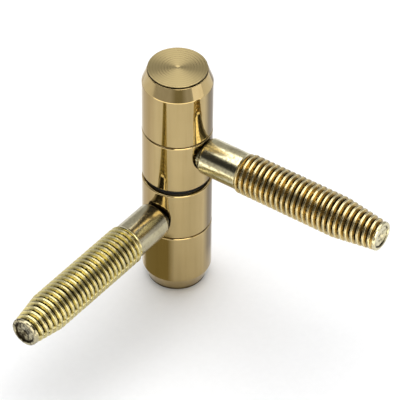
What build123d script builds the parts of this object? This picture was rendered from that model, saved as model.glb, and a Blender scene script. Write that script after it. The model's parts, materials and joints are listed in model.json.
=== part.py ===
from build123d import *
from math import atan, degrees
import os

# Drill-in lift-off door hinge. Millimetres, +Z up along the hinge pin.
# The origin is on the pin's axis, halfway across the gap between the two barrels.
# The lower barrel's stud points along -X, into the door frame.

# ---- Driving dimensions -------------------------------------------------------

BARREL_RADIUS = 7.0
BARREL_HEIGHT = 54.1            # over both end discs
GAP = 1.3                       # between the two sleeves
SEAM_HEIGHT = 12.0              # from the middle of the gap to the sleeve's far end
STUD_HEIGHT = 7.9               # from the middle of the gap to the stud's axis
STUD_SPREAD = 93.3              # degrees from the frame stud round to the door stud

SHANK_RADIUS = 3.78
CREST_RADIUS = 4.15
THREAD_PITCH = 1.2
STUD_REACH = 47.5               # from the pin's axis to the stud's tip

PIN_RADIUS = 3.0
RUNNING_GAP = 0.04              # radial clearance of the pin in its bush
PUSH_GAP = 0.02                 # radial clearance of pieces that are pushed together
BRASS_WALL = 0.8                # from a sleeve's outside to the steel core
EDGE_ROUND = 0.3                # rounded brass edges at the gap, the seams and the shoulders
END_CLEARANCE = 0.1             # beyond the end of a piece that goes into a blind hole

# ---- Worked out from them -----------------------------------------------------

BARREL_END = BARREL_HEIGHT / 2
SLEEVE_START = GAP / 2
SEAM_GAP = 0.18
CAP_START = SEAM_HEIGHT + SEAM_GAP

CONE_HEIGHT = 2.75
CONE_END = BARREL_END - 0.5
CONE_END_RADIUS = BARREL_RADIUS - 1.0
SHOULDER_HEIGHT = CONE_END - CONE_HEIGHT

CORE_RADIUS = BARREL_RADIUS - BRASS_WALL
CORE_CHAMFER = 0.4
CORE_END = SHOULDER_HEIGHT - 0.6
SLEEVE_BORE_RADIUS = CORE_RADIUS + PUSH_GAP
CEILING_SLOPE = 0.9             # width and height of the slope that joins the cap's wall and ceiling
CEILING_HEIGHT = CORE_END + CEILING_SLOPE

DISC_THICKNESS = 0.25
DISC_UNDERSIDE = BARREL_END - DISC_THICKNESS
DISC_RADIUS = CONE_END_RADIUS - 0.1
DISC_EDGE_ROUND = 0.1
DISC_SPIGOT_RADIUS = 4.6
DISC_SPIGOT_END = CORE_END + 0.3
DISC_DIMPLE_RADIUS = 0.5
DISC_DIMPLE_DEPTH = 0.12

RING_HEIGHT = (CAP_START + CORE_END) / 2
RING_SECTION_RADIUS = 0.3
RING_GROOVE_RADIUS = SLEEVE_BORE_RADIUS - 2 * RING_SECTION_RADIUS - PUSH_GAP
RING_GROOVE_WIDTH = 2 * RING_SECTION_RADIUS + 0.2

BUSH_RADIUS = PIN_RADIUS + 0.65
BUSH_BORE_RADIUS = PIN_RADIUS + RUNNING_GAP
PIN_BOTTOM = -16.0
PIN_TOP = 18.0
BUSH_TOP = PIN_TOP + 0.5
PIN_CHAMFER = 0.8

WASHER_RADIUS = CORE_RADIUS - 0.2
WASHER_THICKNESS = GAP - 0.1

NECK_RADIUS = 3.0
NECK_INNER_END = BUSH_RADIUS + 0.35
NECK_HOLE_RADIUS = NECK_RADIUS + 0.2
SHANK_START = BARREL_RADIUS + 0.08
SHANK_CHAMFER_LENGTH = 0.8
SHANK_CHAMFER_DEPTH = 0.35
TAPER_START = 37.2
TIP_RADIUS = 3.0
TIP_CHAMFER = 0.6
TIP_DIMPLE_DEPTH = 0.35
THREAD_DEPTH = 0.65
GROOVE_HALF_WIDTH = 0.44
GROOVE_OVERSHOOT = 0.15         # the cutting outline reaches this far outside the crests
GROOVE_OVERLAP = 0.1            # the straight and the tapered groove share this much height
STRAIGHT_TURNS = 18
GROOVE_START = TAPER_START - GROOVE_OVERLAP - STRAIGHT_TURNS * THREAD_PITCH
THREAD_START = GROOVE_START + 0.4


# ---- Helpers ------------------------------------------------------------------

def turned(*outline):
    """A solid turned about Z from an outline of (radius, height) points."""
    with BuildPart() as piece:
        with BuildSketch(Plane.XZ):
            with BuildLine():
                Polyline(*outline, close=True)
            make_face()
        revolve(axis=Axis.Z)
    return piece.part


def edges_at(piece, radius, height):
    """The circular edges of a turned piece with this radius at this height."""
    circles = piece.edges().filter_by(GeomType.CIRCLE)
    return [
        edge for edge in circles
        if abs(edge.radius - radius) < 0.01 and abs(edge.arc_center.Z - height) < 0.01
    ]


def across(radius, start, end):
    """A round bar that lies along +X at the stud's height, from start to end."""
    plane = Plane(origin=(start, 0, STUD_HEIGHT), z_dir=(1, 0, 0))
    return extrude(plane * Circle(radius), end - start)


# ---- Pieces of one barrel, drawn as the upper barrel with its stud along +X ----

def knuckle_core(bore_radius, bore_depth):
    """The steel core: bored for the pin or bush, cross-drilled for the stud's neck."""
    core = turned((0, SLEEVE_START), (CORE_RADIUS, SLEEVE_START), (CORE_RADIUS, CORE_END), (0, CORE_END))
    core = chamfer(edges_at(core, CORE_RADIUS, CORE_END), CORE_CHAMFER)
    bore = Pos(0, 0, SLEEVE_START) * Cylinder(
        bore_radius, bore_depth, align=(Align.CENTER, Align.CENTER, Align.MIN)
    )
    groove = Pos(0, 0, RING_HEIGHT) * (
        Cylinder(CORE_RADIUS + 1, RING_GROOVE_WIDTH) - Cylinder(RING_GROOVE_RADIUS, RING_GROOVE_WIDTH)
    )
    neck_hole = across(NECK_RADIUS + PUSH_GAP, NECK_INNER_END - END_CLEARANCE, BARREL_RADIUS)
    return core - bore - groove - neck_hole


def sleeve():
    """The brass sleeve from the gap to the seam, with a hole for the stud's neck."""
    tube = turned(
        (SLEEVE_BORE_RADIUS, SLEEVE_START),
        (BARREL_RADIUS, SLEEVE_START),
        (BARREL_RADIUS, SEAM_HEIGHT),
        (SLEEVE_BORE_RADIUS, SEAM_HEIGHT),
    )
    rims = edges_at(tube, BARREL_RADIUS, SLEEVE_START) + edges_at(tube, BARREL_RADIUS, SEAM_HEIGHT)
    tube = fillet(rims, EDGE_ROUND)
    return tube - across(NECK_HOLE_RADIUS, NECK_INNER_END, BARREL_RADIUS + 1)


def cap():
    """The brass cap from the seam over the core's end, closed in by its cone."""
    shell = turned(
        (SLEEVE_BORE_RADIUS, CAP_START),
        (BARREL_RADIUS, CAP_START),
        (BARREL_RADIUS, SHOULDER_HEIGHT),
        (CONE_END_RADIUS, CONE_END),
        (DISC_SPIGOT_RADIUS + PUSH_GAP, CONE_END),
        (DISC_SPIGOT_RADIUS + PUSH_GAP, CEILING_HEIGHT),
        (SLEEVE_BORE_RADIUS - CEILING_SLOPE, CEILING_HEIGHT),
        (SLEEVE_BORE_RADIUS, CORE_END),
    )
    shell = fillet(edges_at(shell, BARREL_RADIUS, CAP_START), EDGE_ROUND)
    return fillet(edges_at(shell, BARREL_RADIUS, SHOULDER_HEIGHT), EDGE_ROUND)


def end_disc():
    """The turned disc on the cap's end, with a spigot that fills the cap's hole."""
    disc = turned(
        (0, DISC_SPIGOT_END),
        (DISC_SPIGOT_RADIUS, DISC_SPIGOT_END),
        (DISC_SPIGOT_RADIUS, DISC_UNDERSIDE),
        (DISC_RADIUS, DISC_UNDERSIDE),
        (DISC_RADIUS, BARREL_END),
        (DISC_DIMPLE_RADIUS, BARREL_END),
        (0, BARREL_END - DISC_DIMPLE_DEPTH),
    )
    return fillet(edges_at(disc, DISC_RADIUS, BARREL_END), DISC_EDGE_ROUND)


def cap_ring():
    """The rubber ring in the core's groove that grips the cap."""
    centre_radius = RING_GROOVE_RADIUS + RING_SECTION_RADIUS + PUSH_GAP / 2
    return Pos(0, 0, RING_HEIGHT) * Torus(centre_radius, RING_SECTION_RADIUS)


# ---- Stud, drawn along +Z from the pin's axis and then laid along +X ------------

def thread_groove(path):
    """A V groove swept along a helix that runs on the thread's crests."""
    mouth = GROOVE_HALF_WIDTH * (1 + GROOVE_OVERSHOOT / THREAD_DEPTH)
    outline = Polyline((-THREAD_DEPTH, 0), (GROOVE_OVERSHOOT, mouth), (GROOVE_OVERSHOOT, -mouth), close=True)
    start = Plane(origin=path @ 0, x_dir=Vector((path @ 0).X, (path @ 0).Y, 0), z_dir=path % 0)
    return sweep(start * make_face(outline), path=path, is_frenet=True)


def stud():
    """A drill-in stud: a plain neck and shank, then a coarse thread to a blunt tip."""
    blank = turned(
        (0, NECK_INNER_END),
        (NECK_RADIUS, NECK_INNER_END),
        (NECK_RADIUS, SHANK_START),
        (SHANK_RADIUS - SHANK_CHAMFER_DEPTH, SHANK_START),
        (SHANK_RADIUS, SHANK_START + SHANK_CHAMFER_LENGTH),
        (SHANK_RADIUS, THREAD_START - CREST_RADIUS + SHANK_RADIUS),
        (CREST_RADIUS, THREAD_START),
        (CREST_RADIUS, TAPER_START),
        (TIP_RADIUS, STUD_REACH),
        (TIP_RADIUS - TIP_CHAMFER, STUD_REACH),
        (0, STUD_REACH - TIP_DIMPLE_DEPTH),
    )
    # One groove runs out over the shank and another follows the taper. They meet
    # after a whole number of turns, so both start at the same angle.
    taper_slope = (CREST_RADIUS - TIP_RADIUS) / (STUD_REACH - TAPER_START)
    meeting = TAPER_START - GROOVE_OVERLAP
    straight = Edge.make_helix(
        THREAD_PITCH, TAPER_START - GROOVE_START, CREST_RADIUS, center=(0, 0, GROOVE_START)
    )
    tapered = Edge.make_helix(
        THREAD_PITCH,
        STUD_REACH + THREAD_PITCH - meeting,
        CREST_RADIUS + GROOVE_OVERLAP * taper_slope,
        center=(0, 0, meeting),
        angle=-degrees(atan(taper_slope)),
    )
    threaded = blank - thread_groove(tapered) - thread_groove(straight)
    return Pos(0, 0, STUD_HEIGHT) * Rot(0, 90, 0) * threaded


# ---- Pieces on the pin's axis -----------------------------------------------------

def pivot_pin():
    """The pin, pressed into the lower core and standing up into the upper one."""
    pin = turned((0, PIN_BOTTOM), (PIN_RADIUS, PIN_BOTTOM), (PIN_RADIUS, PIN_TOP), (0, PIN_TOP))
    return chamfer(edges_at(pin, PIN_RADIUS, PIN_TOP) + edges_at(pin, PIN_RADIUS, PIN_BOTTOM), PIN_CHAMFER)


def pin_bush():
    """The plain bush that lines the upper core's bore."""
    return turned(
        (BUSH_BORE_RADIUS, SLEEVE_START),
        (BUSH_RADIUS, SLEEVE_START),
        (BUSH_RADIUS, BUSH_TOP),
        (BUSH_BORE_RADIUS, BUSH_TOP),
    )


def thrust_washer():
    """The dark washer that carries the door's weight between the two barrels."""
    inner = PIN_RADIUS + RUNNING_GAP
    half = WASHER_THICKNESS / 2
    return turned((inner, -half), (WASHER_RADIUS, -half), (WASHER_RADIUS, half), (inner, half))


# ---- Assembly ---------------------------------------------------------------------

def barrel(bore_radius, bore_depth):
    """The pieces that both barrels share, as the upper barrel with its stud along +X."""
    return {
        "knuckle_core": knuckle_core(bore_radius, bore_depth),
        "sleeve": sleeve(),
        "cap": cap(),
        "end_disc": end_disc(),
        "cap_ring": cap_ring(),
    }


# The lower barrel is the upper one turned half a turn about Y: its stud then
# points along -X and the thread stays right-handed.
lower_turn = Rot(0, 180, 0)
upper_turn = Rot(0, 0, 180 + STUD_SPREAD)

nodes = {}
for name, piece in barrel(PIN_RADIUS + PUSH_GAP, -PIN_BOTTOM - SLEEVE_START + END_CLEARANCE).items():
    nodes["lower_" + name] = lower_turn * piece
for name, piece in barrel(BUSH_RADIUS + PUSH_GAP, BUSH_TOP - SLEEVE_START + END_CLEARANCE).items():
    nodes["upper_" + name] = upper_turn * piece

plain_stud = stud()
nodes["frame_stud"] = lower_turn * plain_stud
nodes["door_stud"] = upper_turn * plain_stud
nodes["pivot_pin"] = pivot_pin()
nodes["pin_bush"] = pin_bush()
nodes["thrust_washer"] = thrust_washer()

os.makedirs("parts", exist_ok=True)
for name, piece in nodes.items():
    export_step(piece, "parts/" + name + ".step")
    print(name, round(piece.volume, 2), len(piece.solids()), piece.is_valid)
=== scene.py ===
# %% [markdown]
# # A drill-in door hinge
#
# Two brass barrels turn on one pin. Each has a threaded steel stud: the lower one
# screws into the door frame and the upper one into the door. The CAD frame holds the
# exact shapes and positions. Here the parts that show are made again with finer
# surfaces, because polished brass mirrors every small fault in a mesh.

import json
import math

import bmesh
import bpy
from mathutils import Euler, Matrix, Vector


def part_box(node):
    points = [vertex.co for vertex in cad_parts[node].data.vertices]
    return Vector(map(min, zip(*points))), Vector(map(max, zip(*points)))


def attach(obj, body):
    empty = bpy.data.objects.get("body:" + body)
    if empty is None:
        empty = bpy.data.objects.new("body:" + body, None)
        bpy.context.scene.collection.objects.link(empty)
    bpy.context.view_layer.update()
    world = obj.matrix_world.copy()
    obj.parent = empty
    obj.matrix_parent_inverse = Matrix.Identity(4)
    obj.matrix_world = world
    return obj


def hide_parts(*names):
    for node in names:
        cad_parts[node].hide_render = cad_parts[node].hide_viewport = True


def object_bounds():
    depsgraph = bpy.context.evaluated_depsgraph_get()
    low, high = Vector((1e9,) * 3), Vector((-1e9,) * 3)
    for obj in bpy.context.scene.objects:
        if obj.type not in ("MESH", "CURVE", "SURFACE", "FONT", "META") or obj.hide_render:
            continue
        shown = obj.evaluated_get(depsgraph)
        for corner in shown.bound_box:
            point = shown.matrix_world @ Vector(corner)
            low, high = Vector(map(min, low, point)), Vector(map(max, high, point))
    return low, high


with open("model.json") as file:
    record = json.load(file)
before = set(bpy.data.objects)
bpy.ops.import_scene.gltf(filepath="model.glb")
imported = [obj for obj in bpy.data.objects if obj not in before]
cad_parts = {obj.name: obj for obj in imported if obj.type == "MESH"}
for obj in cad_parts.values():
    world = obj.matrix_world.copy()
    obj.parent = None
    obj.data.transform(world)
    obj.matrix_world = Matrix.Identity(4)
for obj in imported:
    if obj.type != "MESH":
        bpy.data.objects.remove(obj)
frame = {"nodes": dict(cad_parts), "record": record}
cad_low, cad_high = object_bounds()
MM = 0.001
print("frame size in mm:", [round(side / MM, 2) for side in cad_high - cad_low])

# %% [markdown]
# ## Measurements
#
# A sleeve, cap or disc is as wide and as high as its box in the frame, and the studs'
# directions come from the record's mounts. So if the CAD grows or turns, this model
# follows it. A box can't tell small sizes, such as a rounding, a cone or the thread's
# shape. Those are named beside the piece that they belong to.

# %% Read the barrels and the studs
MOUNTS = {mount["name"]: mount for mount in frame["record"]["mounts"]}
CORE_CLEARANCE = 0.02 * MM


def span(node):
    """The lowest and highest point of a node along Z."""
    low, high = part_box(node)
    return low[2], high[2]


def outer_radius(node):
    """Half the width of a turned node."""
    low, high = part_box(node)
    return (high[0] - low[0]) / 2


BARREL_RADIUS = outer_radius("upper_cap")
BORE_RADIUS = outer_radius("upper_knuckle_core") + CORE_CLEARANCE
DISC_RADIUS = outer_radius("upper_end_disc")
print("barrel radius in mm:", round(BARREL_RADIUS / MM, 3))

# %% [markdown]
# ## Shader expressions
#
# A finish is a tree of nodes, and a tree is hard to read in code when every link is a
# line of its own. So `Value` wraps one number socket and turns `a * b + 1` into Math
# nodes. `Finish` holds one material, and its `node` method adds any other node:
# settings first, then values or links for the sockets.

# %% The Value and Finish classes
class Value:
    """A number socket that Python's operators work on by adding Math nodes."""

    def __init__(self, tree, socket):
        self.tree = tree
        self.socket = socket

    def math(self, operation, *others, swap=False):
        node = self.tree.nodes.new("ShaderNodeMath")
        node.operation = operation
        terms = [self, *others]
        if swap:
            terms.reverse()
        for entry, term in zip(node.inputs, terms):
            if isinstance(term, Value):
                self.tree.links.new(term.socket, entry)
            else:
                entry.default_value = term
        return Value(self.tree, node.outputs[0])

    def __add__(self, other):
        return self.math("ADD", other)

    def __sub__(self, other):
        return self.math("SUBTRACT", other)

    def __rsub__(self, other):
        return self.math("SUBTRACT", other, swap=True)

    def __mul__(self, other):
        return self.math("MULTIPLY", other)

    def __truediv__(self, other):
        return self.math("DIVIDE", other)

    def __pow__(self, other):
        return self.math("POWER", other)

    __radd__ = __add__
    __rmul__ = __mul__

    def clamp(self):
        return self.math("MAXIMUM", 0.0).math("MINIMUM", 1.0)

    def smooth(self, start, end):
        """0 below start, 1 above end, and an even ramp between them."""
        return ((self - start) / (end - start)).clamp()


class Finish:
    """One material with a Principled surface."""

    def __init__(self, name):
        self.material = bpy.data.materials.new(name)
        self.material.use_nodes = True
        self.tree = self.material.node_tree
        self.tree.nodes.clear()
        self.surface = self.node("ShaderNodeBsdfPrincipled")
        output = self.node("ShaderNodeOutputMaterial")
        self.tree.links.new(self.surface.outputs[0], output.inputs["Surface"])

    def node(self, kind, settings=None, sockets=None):
        """A new node: its settings are set first, then its sockets' values or links."""
        node = self.tree.nodes.new(kind)
        for name, value in (settings or {}).items():
            setattr(node, name, value)
        self.plug(node, sockets or {})
        return node

    def plug(self, node, sockets):
        """Gives each named or numbered socket its value or link."""
        for name, value in sockets.items():
            if isinstance(value, Value):
                value = value.socket
            if isinstance(value, bpy.types.NodeSocket):
                self.tree.links.new(value, node.inputs[name])
            else:
                node.inputs[name].default_value = value

    def set(self, sockets):
        """Sets sockets of the surface itself."""
        self.plug(self.surface, sockets)

    def position(self):
        return self.node("ShaderNodeTexCoord").outputs["Object"]

    def parts(self):
        """The three coordinates of the position as values, in metres."""
        split = self.node("ShaderNodeSeparateXYZ", sockets={0: self.position()})
        return [Value(self.tree, out) for out in split.outputs]

    def attribute(self, name):
        """A number that the mesh carries at each of its points."""
        node = self.node("ShaderNodeAttribute", {"attribute_name": name})
        return Value(self.tree, node.outputs["Fac"])

    def noise(self, scale, detail=2.0, stretch=(1, 1, 1)):
        """Noise over the position; stretch makes it finer along an axis."""
        place = self.node("ShaderNodeMapping", sockets={"Vector": self.position(), "Scale": stretch})
        noise = self.node(
            "ShaderNodeTexNoise",
            sockets={"Vector": place.outputs[0], "Scale": scale, "Detail": detail},
        )
        return Value(self.tree, noise.outputs["Fac"])

    def mix(self, factor, first, second):
        """A colour that goes from first to second as factor goes from 0 to 1."""
        node = self.node("ShaderNodeMix", {"data_type": "RGBA"})
        self.plug(node, {0: factor, 6: first, 7: second})
        return node.outputs[2]

    def bump(self, height, strength, distance):
        """A Bump node that feeds Normal."""
        node = self.node(
            "ShaderNodeBump", sockets={"Height": height, "Strength": strength, "Distance": distance}
        )
        self.set({"Normal": node.outputs[0]})


def radius_from_pin(finish):
    """The distance from the pin's axis, in millimetres."""
    x, y, _ = finish.parts()
    return (x * x + y * y) ** 0.5 / MM


print("shader helpers ready")

# %% [markdown]
# ## Polished brass
#
# The sleeves and caps are turned, buffed and lacquered. One flat metal colour would
# mirror the room, but it would look like plastic. So the finish lies in small things: a
# slight change of tint where hands have dulled it, roughness that drifts, upright
# streaks, and the fine rings that the buffing wheel left. All of them are worked out
# from the position, so they look the same from every side.

# %% Brass for the sleeves and caps
BRASS = (0.470, 0.355, 0.167, 1)
BRASS_WORN = (0.405, 0.300, 0.132, 1)
BUFFING = 41  # radians of the buffing rings' wave in each millimetre of height
UPRIGHT = (1, 1, 0.05)  # draws noise out into streaks along the pin


def polished_brass():
    finish = Finish("polished_brass")
    cloud = finish.noise(90, detail=3.0)
    _, _, height = finish.parts()
    rings = (height / MM * BUFFING).math("SINE")
    haze = finish.noise(400, detail=4.0, stretch=(1, 1, 6))
    streaks = finish.noise(1300, detail=3.0, stretch=UPRIGHT)
    dulled = cloud.smooth(0.4, 0.75)
    worn = dulled * 0.5 + streaks.smooth(0.45, 0.75) * 0.5
    finish.set({
        "Base Color": finish.mix(worn, BRASS, BRASS_WORN),
        "Roughness": 0.045 + dulled * 0.03 + haze.smooth(0.5, 0.8) * 0.03,
        "Metallic": 1.0,
    })
    finish.bump(rings * 0.5 + haze, strength=0.05, distance=0.004 * MM)
    return finish.material


brass = polished_brass()
print("made", brass.name)

# %% [markdown]
# ## Turned brass
#
# The end discs are faced on a lathe and left as the tool leaves them. The tool cuts one
# fine spiral, and light spreads across the cut, so the disc shows a bright bow tie that
# points at the eye. The cut is too fine to model or to bump, so anisotropy stands in
# for it. With no map the grain runs round the object's own Z axis, which lays the bow
# tie from left to right. A quarter turn sets it right. A few deeper rings are bump.

# %% Brass for the end discs
DISC_BRASS = (0.355, 0.277, 0.128, 1)
DISC_BRASS_LIGHT = (0.40, 0.312, 0.15, 1)
# Painted shade: the wall of the disc's rim is coloured near black for the dark line under the disc's
# edge.
DISC_RIM_SHADE = (0.07, 0.052, 0.02, 1)
FINE_CUT = 60  # radians of the finest rings' wave in each millimetre of radius
COARSE_CUT = 11  # the same for the deeper rings
DISC_RIM_SHADE_WIDTH = 0.05  # millimetres
QUARTER_TURN = 0.25


def turned_brass():
    finish = Finish("turned_brass")
    radius = radius_from_pin(finish)
    fine = (radius * FINE_CUT).math("SINE")
    coarse = (radius * COARSE_CUT + finish.noise(60) * 3).math("SINE")
    patch = finish.noise(160, detail=3.0)
    tint = finish.mix(coarse * 0.5 + 0.5, DISC_BRASS, DISC_BRASS_LIGHT)
    # The rim's wall is painted dark, as painted shade under the disc's edge.
    rim = radius.smooth(DISC_RADIUS / MM - DISC_RIM_SHADE_WIDTH, DISC_RADIUS / MM - DISC_RIM_SHADE_WIDTH / 5)
    finish.set({
        "Base Color": finish.mix(rim * 0.85, tint, DISC_RIM_SHADE),
        "Roughness": 0.26 + patch * 0.08 + coarse * 0.02,
        "Metallic": 1.0,
        "Anisotropic": 0.85,
        "Anisotropic Rotation": QUARTER_TURN,
    })
    finish.bump(fine * 0.3 + coarse, strength=0.12, distance=0.006 * MM)
    return finish.material


disc_brass = turned_brass()
print("made", disc_brass.name)

# %% [markdown]
# ## Plated steel
#
# The studs are steel with a thin yellow plating. The thread is rolled. Its roots are
# rough and painted near black, which is painted shade with uneven dirt in it, and its
# crests are painted light, as a painted highlight, with a thin dark line where the rolled
# metal met. Colouring that by position would need the helix once more in nodes. So the mesh carries
# three numbers at each point: how deep it lies in the
# thread, whether it is threaded at all, and how far it is from the crest's middle. They
# steer the colour and the roughness. The lower stud has gone olive and the upper one
# brown, so each has its own plating.

# %% Plating for the studs
TARNISH = (0.15, 0.11, 0.042, 1)
# Near-black painted shade, with uneven dirt, for the thread's roots and the stud's dark end rings.
SHADE_AND_DIRT_COLOUR = (0.018, 0.013, 0.005, 1)
HIGHLIGHT_DEPTH = 0.25  # share of the thread's depth that gets the painted highlight
SEAM_INNER, SEAM_OUTER = 0.03, 0.09  # the crest's dark line, in shares of the pitch
SHADE_AND_DIRT_FADE = 0.28  # share of the depth over which the painted shade and dirt set in


def plated_steel(name, shank_colour, thread_colour, crest_highlight_colour, tarnished, shade_and_dirt_from):
    """tarnished is how strong the blotches are; the last argument is the depth where the painted shade
    and dirt start.
    """
    finish = Finish(name)
    depth = finish.attribute("thread_depth")
    threaded = finish.attribute("threaded")
    blotch = finish.noise(260, detail=4.0)
    grit = finish.noise(2600, detail=3.0)
    spots = finish.noise(1900, detail=4.0)
    flank = finish.mix(threaded, shank_colour, thread_colour)
    tarnish = (blotch.smooth(0.48, 0.68) * 0.45 + spots.smooth(0.52, 0.66) * 0.5) * tarnished
    flank = finish.mix(tarnish, flank, TARNISH)
    # Painted highlight: the crests are coloured lighter.
    crest_highlight = (1 - depth.smooth(0.0, HIGHLIGHT_DEPTH)) * threaded
    bright = finish.mix(crest_highlight * 0.8, flank, crest_highlight_colour)
    seam = (1 - finish.attribute("from_crest").smooth(SEAM_INNER, SEAM_OUTER)) * threaded
    bright = finish.mix(seam * 0.75, bright, TARNISH)
    # Painted shade: deep points and dark rings go near black, made uneven like dirt.
    uneven_depth = depth + (spots - 0.5) * 0.9 + (blotch - 0.5) * 0.8
    shade_and_dirt = uneven_depth.smooth(shade_and_dirt_from, shade_and_dirt_from + SHADE_AND_DIRT_FADE)
    finish.set({
        "Base Color": finish.mix(shade_and_dirt, bright, SHADE_AND_DIRT_COLOUR),
        "Roughness": 0.14 + threaded * 0.08 + grit * 0.1 + shade_and_dirt * 0.3 + tarnish * 0.15,
        "Metallic": 1.0,
    })
    finish.bump(grit * 0.6 + blotch, strength=0.45, distance=0.03 * MM)
    return finish.material


PLATINGS = {
    "frame_stud": plated_steel(
        "plated_steel_olive",
        shank_colour=(0.45, 0.405, 0.265, 1),
        thread_colour=(0.57, 0.49, 0.205, 1),
        crest_highlight_colour=(0.80, 0.72, 0.41, 1),
        tarnished=0.6,
        shade_and_dirt_from=0.58,
    ),
    "door_stud": plated_steel(
        "plated_steel_brown",
        shank_colour=(0.62, 0.565, 0.36, 1),
        thread_colour=(0.47, 0.335, 0.115, 1),
        crest_highlight_colour=(0.86, 0.76, 0.46, 1),
        tarnished=0.9,
        shade_and_dirt_from=0.68,
    ),
}
print("made", [plating.name for plating in PLATINGS.values()])

# %% [markdown]
# ## Hidden metal, plastic and rubber
#
# The cores, the pin, the bush and the rings show only when the hinge is lifted apart.
# Plain grey would do at rest, but they still get real finishes: turning marks on steel,
# a ground pin, moulded plastic with a faint grain, and dull rubber. Two functions make
# them all, because they differ only in colour, gloss and how fine their marks are.

# %% Finishes for the inner pieces
SHADE = 0.7  # how dark a steel's patches are beside its own colour


def machined_steel(name, colour, marks_per_mm, roughness):
    finish = Finish(name)
    _, _, height = finish.parts()
    marks = (height / MM * marks_per_mm * math.tau).math("SINE")
    patch = finish.noise(180, detail=3.0)
    dark = tuple(channel * SHADE for channel in colour[:3]) + (1,)
    finish.set({
        "Base Color": finish.mix(patch.smooth(0.35, 0.7), colour, dark),
        "Roughness": roughness + patch * 0.12,
        "Metallic": 1.0,
    })
    finish.bump(marks * 0.5 + patch, strength=0.2, distance=0.01 * MM)
    return finish.material


def moulded(name, colour, lighter, roughness):
    finish = Finish(name)
    grain = finish.noise(1800, detail=4.0)
    patch = finish.noise(220)
    finish.set({
        "Base Color": finish.mix(patch.smooth(0.35, 0.7), colour, lighter),
        "Roughness": roughness + grain * 0.15,
    })
    finish.bump(grain, strength=0.3, distance=0.02 * MM)
    return finish.material


core_steel = machined_steel("core_steel", (0.50, 0.50, 0.51, 1), marks_per_mm=5, roughness=0.3)
pin_steel = machined_steel("pin_steel", (0.60, 0.60, 0.62, 1), marks_per_mm=14, roughness=0.14)
washer_black = moulded("washer_black", (0.006, 0.006, 0.006, 1), (0.014, 0.013, 0.012, 1), roughness=0.5)
ring_rubber = moulded("ring_rubber", (0.012, 0.012, 0.012, 1), (0.022, 0.021, 0.02, 1), roughness=0.6)
bush_plastic = moulded("bush_plastic", (0.60, 0.58, 0.52, 1), (0.70, 0.68, 0.62, 1), roughness=0.4)
print("inner finishes ready")

# %% Dress the inner nodes
INNER = {
    "lower_knuckle_core": core_steel,
    "upper_knuckle_core": core_steel,
    "pivot_pin": pin_steel,
    "pin_bush": bush_plastic,
    "lower_cap_ring": ring_rubber,
    "upper_cap_ring": ring_rubber,
}
for node, material in INNER.items():
    slots = frame["nodes"][node].data.materials
    slots.clear()
    slots.append(material)
print("dressed", len(INNER), "nodes")

# %% [markdown]
# ## Turning a profile
#
# Everything on the barrel is round. A screw modifier or a cylinder with bevels could
# make it, but neither gives full say over every edge. So each piece is drawn as half an
# outline and swept about the pin's axis, as on a lathe. Sharp edges catch no light, and
# a real edge is always a little rounded: `rounded` puts a small arc in each corner. It
# also adds a point just outside each arc, which keeps the shading on the flat wall
# beside it truly flat.

# %% Outline and lathe helpers
ARC_STEPS = 6
SUPPORT = 0.04 * MM
AROUND = 288
ON_AXIS = 1e-7
SHARP_ANGLE = math.radians(40)


def rounded(corners):
    """An outline of (radius, height) points from corners of (radius, height, rounding)."""
    outline = []
    for index, (radius, height, rounding) in enumerate(corners):
        here = Vector((radius, height))
        if rounding == 0:
            outline.append(here)
            continue
        before = (Vector(corners[index - 1][:2]) - here).normalized()
        after = (Vector(corners[(index + 1) % len(corners)][:2]) - here).normalized()
        half = before.angle(after) / 2
        reach = rounding / math.tan(half)
        centre = here + (before + after).normalized() * (rounding / math.sin(half))
        start = here + before * reach - centre
        end = here + after * reach - centre
        turn = start.angle(end)
        outline.append(here + before * (reach + SUPPORT))
        for step in range(ARC_STEPS + 1):
            share = step / ARC_STEPS
            weights = math.sin((1 - share) * turn), math.sin(share * turn)
            outline.append(centre + (start * weights[0] + end * weights[1]) / math.sin(turn))
        outline.append(here + after * (reach + SUPPORT))
    return outline


def turned(name, outline):
    """A mesh swept about Z from a closed outline. A point on the axis stays one point."""
    made = bmesh.new()
    rings = []
    for radius, height in outline:
        if radius < ON_AXIS:
            rings.append([made.verts.new((0, 0, height))] * AROUND)
            continue
        ring = []
        for step in range(AROUND):
            angle = math.tau * step / AROUND
            ring.append(made.verts.new((radius * math.cos(angle), radius * math.sin(angle), height)))
        rings.append(ring)
    for index, ring in enumerate(rings):
        other = rings[(index + 1) % len(rings)]
        for step in range(AROUND):
            following = (step + 1) % AROUND
            corners = [ring[step], ring[following], other[following], other[step]]
            corners = list(dict.fromkeys(corners))
            if len(corners) > 2:
                made.faces.new(corners)
    bmesh.ops.recalc_face_normals(made, faces=made.faces)
    mesh = bpy.data.meshes.new(name)
    made.to_mesh(mesh)
    made.free()
    return mesh


def new_piece(name, mesh, material, body, node):
    """Puts a finished mesh in the scene in place of its CAD node."""
    piece = bpy.data.objects.new(name, mesh)
    bpy.context.scene.collection.objects.link(piece)
    mesh.materials.append(material)
    for face in mesh.polygons:
        face.use_smooth = True
    mesh.set_sharp_from_angle(angle=SHARP_ANGLE)
    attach(piece, body)
    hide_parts(node)
    return piece


print("lathe ready,", AROUND, "steps round")

# %% [markdown]
# ## Sleeves
#
# A sleeve is a plain tube between the gap and the seam. Its two outer edges are
# rounded, and each shows as a thin dark line with a bright one beside it. The stud's
# neck goes in through a round hole. The shank hides it, so it could be left out. It is
# cut all the same, so that the neck passes through a hole and not through brass.
# Drawing it into the lathe's rows would bend every row near it, so a Boolean modifier
# cuts it, and the result is kept as a mesh.

# %% Make the sleeves
EDGE_ROUND = 0.3 * MM
INNER_ROUND = 0.05 * MM
NECK_HOLE_RADIUS = 3.2 * MM
HOLE_STEPS = 96
CUTTER_LENGTH = BARREL_RADIUS * 2
CUTTER_MIDDLE = 1.2  # barrel radii from the pin's axis


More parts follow.
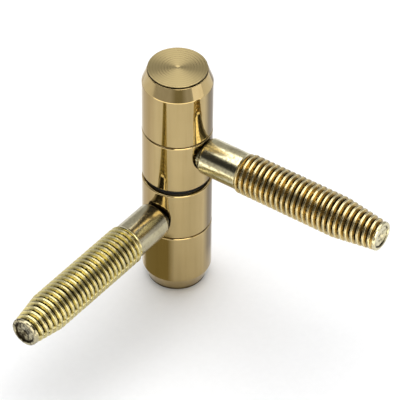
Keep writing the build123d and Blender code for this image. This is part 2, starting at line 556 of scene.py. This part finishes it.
def hole_cutter(direction, height):
    """A rod along direction that starts inside the barrel and ends outside it."""
    cutter = bmesh.new()
    bmesh.ops.create_cone(
        cutter,
        cap_ends=True,
        segments=HOLE_STEPS,
        radius1=NECK_HOLE_RADIUS,
        radius2=NECK_HOLE_RADIUS,
        depth=CUTTER_LENGTH,
    )
    cutter.transform(direction.to_track_quat("Z", "Y").to_matrix().to_4x4())
    bmesh.ops.translate(cutter, verts=cutter.verts, vec=direction * BARREL_RADIUS * CUTTER_MIDDLE)
    bmesh.ops.translate(cutter, verts=cutter.verts, vec=(0, 0, height))
    mesh = bpy.data.meshes.new("cutter")
    cutter.to_mesh(mesh)
    cutter.free()
    return bpy.data.objects.new("cutter", mesh)


def cut_neck_hole(mesh, direction, height):
    """The mesh with a round hole along direction, from the pin's axis outwards."""
    tool = hole_cutter(direction, height)
    work = bpy.data.objects.new("work", mesh)
    for piece in (tool, work):
        bpy.context.scene.collection.objects.link(piece)
    hole = work.modifiers.new("hole", "BOOLEAN")
    hole.object = tool
    hole.operation = "DIFFERENCE"
    hole.solver = "EXACT"
    bpy.context.view_layer.update()
    graph = bpy.context.evaluated_depsgraph_get()
    cut = bpy.data.meshes.new_from_object(work.evaluated_get(graph))
    for piece in (tool, work):
        bpy.data.objects.remove(piece)
    return cut


def sleeve(node, body, mount):
    low, high = span(node)
    outline = rounded([
        (BORE_RADIUS, low, INNER_ROUND),
        (BARREL_RADIUS, low, EDGE_ROUND),
        (BARREL_RADIUS, high, EDGE_ROUND),
        (BORE_RADIUS, high, INNER_ROUND),
    ])
    direction = Vector(MOUNTS[mount]["axis"])
    mesh = cut_neck_hole(turned(node + "_mesh", outline), direction, MOUNTS[mount]["pos_m"][2])
    return new_piece(node + "_brass", mesh, brass, body, node)


sleeves = [
    sleeve("lower_sleeve", "lower_leaf", "frame_stud"),
    sleeve("upper_sleeve", "upper_leaf", "door_stud"),
]
print("sleeve points:", [len(piece.data.vertices) for piece in sleeves])

# %% [markdown]
# ## Caps
#
# A cap is a cup: a straight wall from the seam to the shoulder, a steep cone, and a
# flat rim round the hole that the end disc fills. The lower cap is the upper one upside
# down. A mirrored copy would have its faces inside out, so the outline is drawn once
# and its heights are multiplied by -1 for the lower cap.

# %% Make the caps
SHOULDER_BELOW_CONE_END = 2.75 * MM
CONE_END_RADIUS = BARREL_RADIUS - 1.0 * MM
SPIGOT_RADIUS = 4.62 * MM
SHOULDER_ROUND = 0.9 * MM
CONE_END_ROUND = 0.1 * MM
CEILING_RADIUS = BORE_RADIUS - 0.9 * MM
CEILING_ABOVE_SHOULDER = 0.3 * MM
BORE_END_BELOW_SHOULDER = 0.6 * MM


def cap(node, body, side):
    start, cone_end = sorted(abs(height) for height in span(node))
    shoulder = cone_end - SHOULDER_BELOW_CONE_END
    ceiling = shoulder + CEILING_ABOVE_SHOULDER
    corners = [
        (BORE_RADIUS, start, INNER_ROUND),
        (BARREL_RADIUS, start, EDGE_ROUND),
        (BARREL_RADIUS, shoulder, SHOULDER_ROUND),
        (CONE_END_RADIUS, cone_end, CONE_END_ROUND),
        (SPIGOT_RADIUS, cone_end, INNER_ROUND),
        (SPIGOT_RADIUS, ceiling, INNER_ROUND),
        (CEILING_RADIUS, ceiling, INNER_ROUND),
        (BORE_RADIUS, shoulder - BORE_END_BELOW_SHOULDER, INNER_ROUND),
    ]
    outline = [(radius, side * height) for radius, height in rounded(corners)]
    return new_piece(node + "_brass", turned(node + "_mesh", outline), brass, body, node)


caps = [cap("lower_cap", "lower_leaf", -1), cap("upper_cap", "upper_leaf", 1)]
print("cap points:", [len(piece.data.vertices) for piece in caps])

# %% [markdown]
# ## End discs
#
# The disc closes the cap's end. Its spigot fills the cap's hole and its edge lies on the
# cap's rim. Its plate is so thin that it could be painted on the cap instead. But the
# plate's rounded edge throws a thin dark line on the cone, and the lathe's centre
# leaves a tiny dimple in the middle, and paint would give neither.

# %% Make the end discs
DISC_THICKNESS = 0.22 * MM
DISC_EDGE_ROUND = 0.1 * MM
UNDERSIDE_ROUND = 0.03 * MM
SPIGOT_CLEARANCE = 0.03 * MM
DIMPLE_RADIUS = 0.5 * MM
DIMPLE_DEPTH = 0.1 * MM


def end_disc(node, body, side):
    inner_end, face = sorted(abs(height) for height in span(node))
    spigot = SPIGOT_RADIUS - SPIGOT_CLEARANCE
    underside = face - DISC_THICKNESS
    corners = [
        (0, inner_end, 0),
        (spigot, inner_end, DISC_EDGE_ROUND),
        (spigot, underside, 0),
        (DISC_RADIUS, underside, UNDERSIDE_ROUND),
        (DISC_RADIUS, face, DISC_EDGE_ROUND),
        (DIMPLE_RADIUS, face, DISC_EDGE_ROUND),
        (0, face - DIMPLE_DEPTH, 0),
    ]
    outline = [(distance, side * height) for distance, height in rounded(corners)]
    return new_piece(node + "_turned", turned(node + "_mesh", outline), disc_brass, body, node)


discs = [end_disc("lower_end_disc", "lower_leaf", -1), end_disc("upper_end_disc", "upper_leaf", 1)]
print("disc points:", [len(piece.data.vertices) for piece in discs])

# %% [markdown]
# ## Thrust washer
#
# The dark washer keeps brass off brass and carries the door's weight. Little of it
# shows in the gap, but it is what makes the gap read as a black line. Lifting the upper
# barrel uncovers its whole face, so it is turned like the rest, with rounded edges.

# %% Make the washer
PIN_CLEARANCE = 0.04 * MM
WASHER_INNER_ROUND = 0.1 * MM
WASHER_OUTER_ROUND = 0.15 * MM


def washer(node, body):
    low, high = span(node)
    outer = outer_radius(node)
    inner = outer_radius("pivot_pin") + PIN_CLEARANCE
    outline = rounded([
        (inner, low, WASHER_INNER_ROUND),
        (outer, low, WASHER_OUTER_ROUND),
        (outer, high, WASHER_OUTER_ROUND),
        (inner, high, WASHER_INNER_ROUND),
    ])
    return new_piece(node + "_black", turned(node + "_mesh", outline), washer_black, body, node)


washer_piece = washer("thrust_washer", "washer")
print("washer points:", len(washer_piece.data.vertices))

# %% [markdown]
# ## Studs
#
# A rolled thread is one ridge wound round a rod. A bump could fake it, but the
# silhouette would stay smooth. And if the mesh's rows ran straight round the rod, the
# ridge would cross them and look jagged. So the rows wind with the thread: each point's
# distance along the stud grows by one pitch for every turn, and the same few points
# across the ridge serve all its length. The ridge rises out of the smooth shank, and
# shrinks with the taper towards the blunt tip.

# %% Stud sizes and the thread's shape
SHANK_RADIUS = 3.78 * MM
CREST_RADIUS = 4.15 * MM
THREAD_DEPTH = 0.62 * MM
PITCH = 1.2 * MM
NECK_RADIUS = 3.0 * MM
SHANK_START = BARREL_RADIUS + 0.08 * MM
THREAD_START = 15.7 * MM
TAPER_STARTS = {"frame_stud": 40.3 * MM, "door_stud": 38.1 * MM}
LAND_START = 47.0 * MM
LAND_RADIUS = 3.0 * MM
STUD_REACH = 47.5 * MM
RISE_START, RISE_END = THREAD_START - 0.2 * MM, THREAD_START + 0.8 * MM
FALL_START, FALL_END = LAND_START - 0.5 * MM, LAND_START + 0.1 * MM
ACROSS_RIDGE = 16
CREST_HALF = 2 / ACROSS_RIDGE
ROOT_EDGE = 7 / ACROSS_RIDGE


def ramp(value, start, end):
    """0 before start, 1 after end, eased between them."""
    share = min(max((value - start) / (end - start), 0), 1)
    return share * share * (3 - 2 * share)


def from_crest(phase):
    """How far a point lies from the middle of the crest, as a share of the pitch."""
    return abs((phase + 0.5) % 1 - 0.5)


def ridge(phase):
    """The height of the thread's ridge, from 0 in the root to 1 on the crest."""
    away = from_crest(phase)
    return 1 - min(max((away - CREST_HALF) / (ROOT_EDGE - CREST_HALF), 0), 1)


def stud_surface(along, phase, taper_start):
    """(radius, depth in the thread, how threaded, distance from the crest) for a point."""
    slope = (CREST_RADIUS - LAND_RADIUS) / (LAND_START - taper_start)
    crest = CREST_RADIUS - max(along - taper_start, 0) * slope
    threaded = ramp(along, RISE_START, RISE_END) * (1 - ramp(along, FALL_START, FALL_END))
    height = ridge(phase)
    winding = crest - THREAD_DEPTH * (1 - height)
    plain = SHANK_RADIUS if along < taper_start else LAND_RADIUS
    radius = plain + (winding - plain) * threaded
    return radius, (1 - height) * threaded, threaded, from_crest(phase)


print("turns of thread:", round((LAND_START - THREAD_START) / PITCH, 1))

# %% [markdown]
# ### The ends of a stud
#
# Before the thread comes a neck in the sleeve's hole and a smooth shank with a rounded
# shoulder. The shoulder, and the neck next to it, are painted dark, as painted shade where
# the stud goes into the barrel. After the thread comes a short land and a face with a
# shallow dish, which the rolling leaves. These are plain rings. Each is given by how far
# it lies from the shank's start or from the tip, how far it steps in from the full
# radius, and how dark it is, where 1 is as dark as a root of the thread.

# %% Rings of the stud's two ends
STUD_AROUND = 128
NECK_CHAMFER = 0.1 * MM
NECK_CHAMFER_SHARE = 0.98
SHANK_BEFORE_THREAD = 2.0 * MM
# The shoulder's dark rings are painted shade where the shank meets the barrel.
SHOULDER_RINGS = [
    (0, 0.3, 1.0),
    (0.15, 0.17, 1.0),
    (0.35, 0.07, 0.9),
    (0.6, 0.01, 0.4),
    (0.7, 0.0, 0.0),
]
TIP_RINGS = [
    (0.25, 0.02, 0.75),
    (0.06, 0.1, 0.6),
    (0, 0.3, 0.55),
    (0, 0.6, 0.68),
    (0.25, 0.85, 0.95),
    (0.27, 1.2, 0.7),
    (0.30, 2.4, 0.7),
    (0.45, 2.7, 0.8),
]


def plain_ring(along, radius, dark=0.0):
    """A round ring of points that are not threaded and half a pitch from any crest."""
    return [(along, radius, dark, 0.0, 0.5)] * STUD_AROUND


def root_end(inner_end):
    """Rings from the stud's inner end to the smooth shank."""
    rings = [
        plain_ring(inner_end, NECK_RADIUS * NECK_CHAMFER_SHARE),
        plain_ring(inner_end + NECK_CHAMFER, NECK_RADIUS),
        plain_ring(SHANK_START, NECK_RADIUS, 1.0),
    ]
    for past, step_in, dark in SHOULDER_RINGS:
        rings.append(plain_ring(SHANK_START + past * MM, SHANK_RADIUS - step_in * MM, dark))
    rings.append(plain_ring(THREAD_START - SHANK_BEFORE_THREAD, SHANK_RADIUS))
    return rings


def tip_end():
    """Rings from the land to the middle of the tip's face."""
    return [
        plain_ring(STUD_REACH - back * MM, LAND_RADIUS - step_in * MM, dark)
        for back, step_in, dark in TIP_RINGS
    ]


print("plain rings on a stud:", 4 + len(SHOULDER_RINGS) + len(TIP_RINGS))

# %% Make the studs
START_LIMIT = THREAD_START - 1.0 * MM
END_LIMIT = LAND_START + 0.2 * MM
SAME_POINT = 1e-7
UP = Vector((0, 0, 1))


def thread_rings(taper_start):
    """Rings that wind with the thread, kept between the shank and the tip.

    A ring spans a whole pitch, so there are spare turns at both ends for the limits to cut.
    """
    first_turn = math.floor(THREAD_START / PITCH) - 2
    last_turn = math.ceil(LAND_START / PITCH) + 1
    rings = []
    for index in range(first_turn * ACROSS_RIDGE, last_turn * ACROSS_RIDGE):
        station = index / ACROSS_RIDGE
        ring = []
        for step in range(STUD_AROUND):
            along = (station + step / STUD_AROUND) * PITCH
            along = min(max(along, START_LIMIT), END_LIMIT)
            ring.append((along, *stud_surface(along, station, taper_start)))
        rings.append(ring)
    return rings


def skinned(name, rings, place):
    """A closed mesh through rings of points; place turns a ring's numbers into a position."""
    made = bmesh.new()
    layers = [made.verts.layers.float.new(layer) for layer in ("thread_depth", "threaded", "from_crest")]
    point_rings = []
    for ring in rings:
        points = []
        for step, (along, radius, *numbers) in enumerate(ring):
            point = made.verts.new(place(along, radius, math.tau * step / STUD_AROUND))
            for layer, number in zip(layers, numbers):
                point[layer] = number
            points.append(point)
        point_rings.append(points)
    for near, far in zip(point_rings, point_rings[1:]):
        for step in range(STUD_AROUND):
            following = (step + 1) % STUD_AROUND
            made.faces.new([near[step], near[following], far[following], far[step]])
    made.faces.new(point_rings[0])
    made.faces.new(point_rings[-1])
    bmesh.ops.remove_doubles(made, verts=made.verts, dist=SAME_POINT)
    bmesh.ops.recalc_face_normals(made, faces=made.faces)
    mesh = bpy.data.meshes.new(name)
    made.to_mesh(mesh)
    made.free()
    return mesh


def stud(node, body):
    axis = Vector(MOUNTS[node]["axis"])
    height = MOUNTS[node]["pos_m"][2]
    side = UP.cross(axis)
    inner_end = min(abs(corner.dot(axis)) for corner in map(Vector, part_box(node)))

    def place(along, radius, angle):
        spoke = side * math.cos(angle) + UP * math.sin(angle)
        return axis * along + spoke * radius + UP * height

    rings = root_end(inner_end) + thread_rings(TAPER_STARTS[node]) + tip_end()
    mesh = skinned(node + "_mesh", rings, place)
    return new_piece(node + "_threaded", mesh, PLATINGS[node], body, node)


studs = [stud("frame_stud", "lower_leaf"), stud("door_stud", "upper_leaf")]
print("stud points:", [len(piece.data.vertices) for piece in studs])

# %% [markdown]
# ## Floor
#
# The hinge stands on its lower end disc on a wide pale sheet. Polished brass seen from
# above mirrors this sheet, so the sheet's brightness sets the brass's tone. One large
# face is enough, because only its shade and its faint grain show.

# %% Make the floor
FLOOR_HALF_WIDTH = 3.0
FLOOR_HEIGHT = cad_low[2] - 0.05 * MM
FLOOR_GREY = (0.84, 0.84, 0.84, 1)
FLOOR_LIGHT = (0.88, 0.88, 0.88, 1)


def pale_floor():
    finish = Finish("pale_floor")
    grain = finish.noise(900, detail=3.0)
    finish.set({
        "Base Color": finish.mix(grain, FLOOR_GREY, FLOOR_LIGHT),
        "Roughness": 0.75 + grain * 0.1,
    })
    mesh = bpy.data.meshes.new("floor_mesh")
    signs = ((-1, -1), (1, -1), (1, 1), (-1, 1))
    corners = [(x * FLOOR_HALF_WIDTH, y * FLOOR_HALF_WIDTH, FLOOR_HEIGHT) for x, y in signs]
    mesh.from_pydata(corners, [], [(0, 1, 2, 3)])
    mesh.materials.append(finish.material)
    floor = bpy.data.objects.new("floor", mesh)
    bpy.context.scene.collection.objects.link(floor)
    return floor


pale_floor()
print("floor at", round(FLOOR_HEIGHT / MM, 2), "mm")

# %% [markdown]
# ## Camera
#
# The camera looks down on the hinge from about 0.7 metres through a long lens, so the
# barrel narrows only slightly towards the floor. A short lens close by would narrow it
# more, and a camera without perspective not at all. It is aimed at the middle of the
# gap and then turned a little, which places the hinge in the frame.

# %% Place the camera
CAMERA_DISTANCE = 694.3 * MM
AZIMUTH = math.radians(-52.14)
ELEVATION = math.radians(42.58)
LENS = 316.07
SENSOR_WIDTH = 36
AIM_RIGHT = math.radians(0.372)
AIM_DOWN = math.radians(0.478)
ROLL = math.radians(0.29)

back = Vector((
    math.sin(AZIMUTH) * math.cos(ELEVATION),
    -math.cos(AZIMUTH) * math.cos(ELEVATION),
    math.sin(ELEVATION),
))
camera_data = bpy.data.cameras.new("camera")
camera_data.lens = LENS
camera_data.sensor_width = SENSOR_WIDTH
camera_data.clip_start = 0.01
camera_data.clip_end = 20
camera = bpy.data.objects.new("camera", camera_data)
bpy.context.scene.collection.objects.link(camera)
camera.location = back * CAMERA_DISTANCE
aim = (-back).to_track_quat("-Z", "Y")
nudge = Euler((-AIM_DOWN, -AIM_RIGHT, ROLL)).to_quaternion()
camera.rotation_mode = "QUATERNION"
camera.rotation_quaternion = aim @ nudge
bpy.context.scene.camera = camera
print("camera at", [round(value / MM) for value in camera.location])

# %% [markdown]
# ## Light
#
# A soft studio: one large softbox overhead and a pale room. Polished metal shows what
# it mirrors, and in an even room it looks flat. So a studio sets up dark and bright
# cards, and edges and curves show. More lamps could do some of that, but they would
# change the floor and the shadows too. Here each card is a thin glowing sheet that only
# mirrors see, and it fades at its border to leave no hard line on the brass. The upright
# cards stand round the hinge. The floor cards lie where the barrel's wall mirrors them,
# and `base_shadow` is the dark area on the lower cap, beside the foot.

# %% Softbox, cards and room
BRIGHTNESS = 1.16
CARD_ROWS = 12
CARD_STEPS = 24


def towards(azimuth_from_camera, elevation):
    """A direction given by degrees to the right of the camera and above the floor."""
    turned_to = AZIMUTH + math.radians(azimuth_from_camera)
    rise = math.radians(elevation)
    level = math.cos(rise)
    return Vector((math.sin(turned_to) * level, -math.cos(turned_to) * level, math.sin(rise)))


def softbox(name, direction, distance, width, height, radiance):
    """An area light that faces the hinge; radiance is its brightness per square metre."""
    data = bpy.data.lights.new(name, "AREA")
    data.shape = "RECTANGLE"
    data.size = width
    data.size_y = height
    data.energy = BRIGHTNESS * radiance * width * height * math.pi
    light = bpy.data.objects.new(name, data)
    bpy.context.scene.collection.objects.link(light)
    light.location = direction * distance
    light.rotation_mode = "QUATERNION"
    light.rotation_quaternion = direction.to_track_quat("Z", "Y")
    return light


def card_mesh(name, rows, fade):
    """A sheet through rows of points that carries how far each point is from the border."""
    across, along = len(rows) - 1, len(rows[0]) - 1
    points = [point for row in rows for point in row]
    faces = []
    for row in range(across):
        for step in range(along):
            corner = row * (along + 1) + step
            faces.append((corner, corner + 1, corner + along + 2, corner + along + 1))
    mesh = bpy.data.meshes.new(name)
    mesh.from_pydata(points, [], faces)
    inwards = mesh.attributes.new("inwards", "FLOAT", "POINT")
    for index in range(len(points)):
        row, step = divmod(index, along + 1)
        inwards.data[index].value = min(row * fade, (across - row) * fade, step, along - step)
    return mesh


def glowing(name, rows, radiance, fade):
    """A sheet that glows in mirrors; fade is how many steps its two ends take to fade out."""
    mesh = card_mesh(name + "_mesh", rows, fade)
    finish = Finish(name + "_glow")
    finish.set({
        "Base Color": (0, 0, 0, 1),
        "Specular IOR Level": 0.0,
        "Emission Color": (*radiance, 1),
        "Emission Strength": BRIGHTNESS,
        "Alpha": finish.attribute("inwards").smooth(0.0, fade),
    })
    mesh.materials.append(finish.material)
    sheet = bpy.data.objects.new(name, mesh)
    bpy.context.scene.collection.objects.link(sheet)
    sheet.visible_camera = False
    sheet.visible_diffuse = False
    sheet.visible_shadow = False
    return sheet


def between(ends, steps):
    """Even steps from the first of two ends to the second."""
    return [ends[0] + (ends[1] - ends[0]) * step / steps for step in range(steps + 1)]


def upright_card(name, azimuths, distance, heights, radiance, fade=1):
    """A strip that stands round the hinge."""
    rows = []
    for height in between(heights, CARD_ROWS):
        foot = Vector((0, 0, height))
        rows.append([towards(turn, 0) * distance + foot for turn in between(azimuths, CARD_STEPS)])
    return glowing(name, rows, radiance, fade)


def floor_card(name, sides, reaches, radiance, fade=1, lift=0.1 * MM):
    """A sheet on the floor, placed by where the barrel mirrors it.

    sides are degrees round the barrel's wall. The wall there mirrors the floor along a
    line that leaves it at twice that angle, and reaches are distances along that line.
    Sheets that overlap need lifts of their own, or they would fight for the same height.
    """
    foot = Vector((0, 0, cad_low[2] + lift))
    rows = []
    for reach in between(reaches, CARD_ROWS):
        row = []
        for side in between(sides, CARD_STEPS):
            row.append(towards(side, 0) * BARREL_RADIUS + towards(2 * side, 0) * reach + foot)
        rows.append(row)
    return glowing(name, rows, radiance, fade)


print("card helpers ready")

# %% Set up the studio
ROOM_COLOUR = (0.93, 0.94, 0.96, 1)
ROOM_STRENGTH = 0.55
CARD_FOOT = -26.9 * MM  # just above the floor

# Angles are in degrees. Distances, heights and reaches are in metres. Then comes the glow.
softbox("overhead_softbox", towards(180, 77), distance=0.9, width=1.2, height=0.9, radiance=2.3)
upright_card("left_dark_card", (-120, -10), 0.50, (0.114, 0.780), (0.02, 0.02, 0.02))
upright_card("right_dark_card", (50, 122), 0.52, (0.114, 0.780), (0.03, 0.03, 0.02))
upright_card("front_grey_card", (-115, 46), 0.30, (CARD_FOOT, 0.089), (0.52, 0.52, 0.53))
# This card puts a dim patch of painted reflection on the brass.
upright_card("dim_reflection_card", (-22, 28), 0.28, (-0.040, 0.045), (0.29, 0.27, 0.19), fade=8)
upright_card("right_bright_card", (45, 82), 0.25, (CARD_FOOT, 0.070), (1.35, 1.35, 1.4))
upright_card("right_grey_card", (80, 150), 0.30, (CARD_FOOT, 0.089), (0.50, 0.50, 0.55))
upright_card("front_bright_card", (-12, 46), 0.35, (0.10, 0.60), (3.6, 3.5, 3.2), fade=3)
floor_card("base_shadow", (-72, -4), (0.3 * MM, 17 * MM), (0.27, 0.23, 0.11), fade=4, lift=0.3 * MM)
floor_card("right_floor_grey", (48, 85), (1 * MM, 110 * MM), (0.42, 0.43, 0.49), fade=8)
floor_card("left_floor_grey", (-85, -36), (1 * MM, 110 * MM), (0.74, 0.70, 0.64), fade=8)
floor_card("bright_ring", (-40, 40), (70 * MM, 210 * MM), (2.3, 2.2, 2.0), fade=2, lift=0.2 * MM)

world = bpy.data.worlds.new("pale_room")
world.use_nodes = True
background = world.node_tree.nodes["Background"]
background.inputs["Color"].default_value = ROOM_COLOUR
background.inputs["Strength"].default_value = ROOM_STRENGTH * BRIGHTNESS
bpy.context.scene.world = world
bpy.context.scene.view_settings.view_transform = "Standard"
